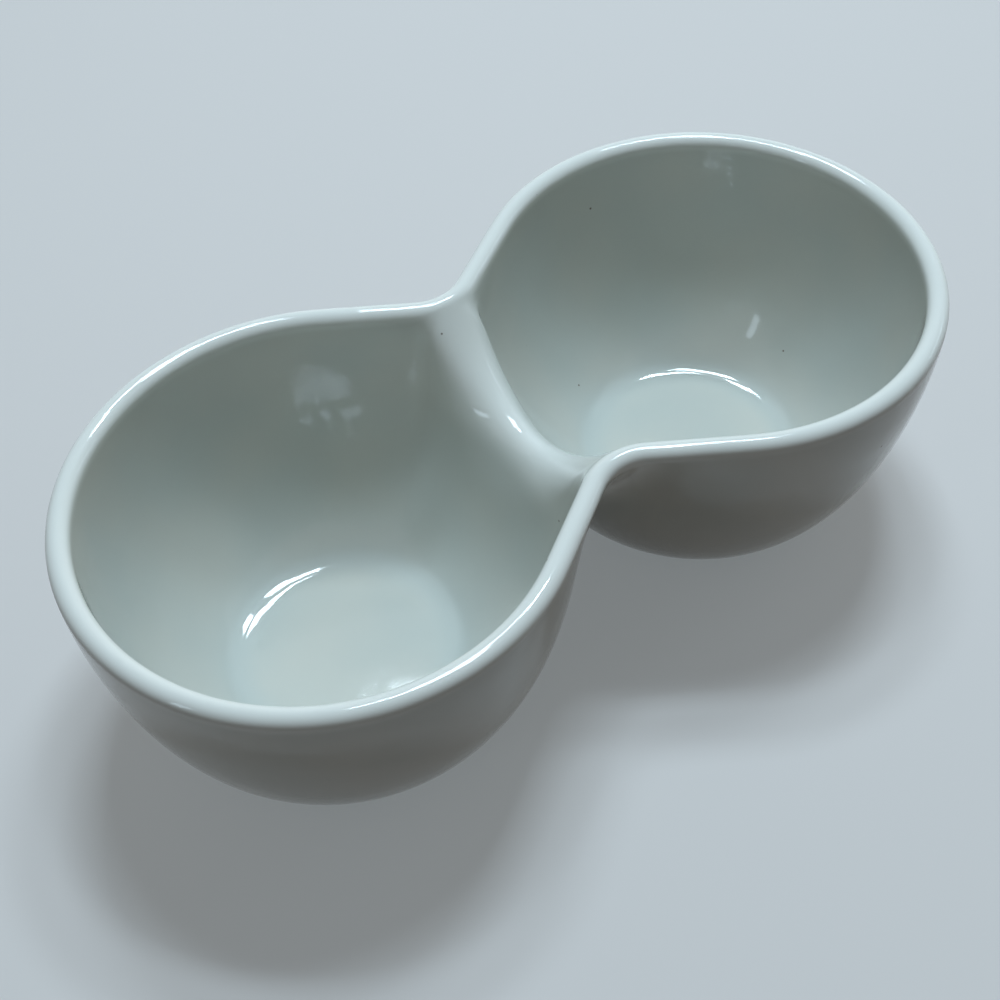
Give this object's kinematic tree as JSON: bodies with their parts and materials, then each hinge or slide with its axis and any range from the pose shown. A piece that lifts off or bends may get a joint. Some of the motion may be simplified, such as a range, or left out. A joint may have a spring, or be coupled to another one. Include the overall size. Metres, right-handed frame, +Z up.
{
  "type": "twin dipping bowl",
  "caption": "Long glazed ceramic dip bowl: deep round cups side by side, joined at a pinched waist with a dipped saddle between the wells and one rounded lip all round.",
  "frame": {"origin": "on the table under the middle of the saddle", "axes": "+Z up, +X along the length from the front cup to the rear cup, +Y across the waist"},
  "size_m": [0.194, 0.0978, 0.0582],
  "materials": {
    "glaze": "gloss off-white glaze",
    "biscuit": "bare fired clay, matt"
  },
  "bodies": {
    "root": {"front_bowl": "glaze", "rear_bowl": "glaze", "saddle": "glaze", "front_foot_ring": "biscuit", "rear_foot_ring": "biscuit"}
  },
  "joints": []
}
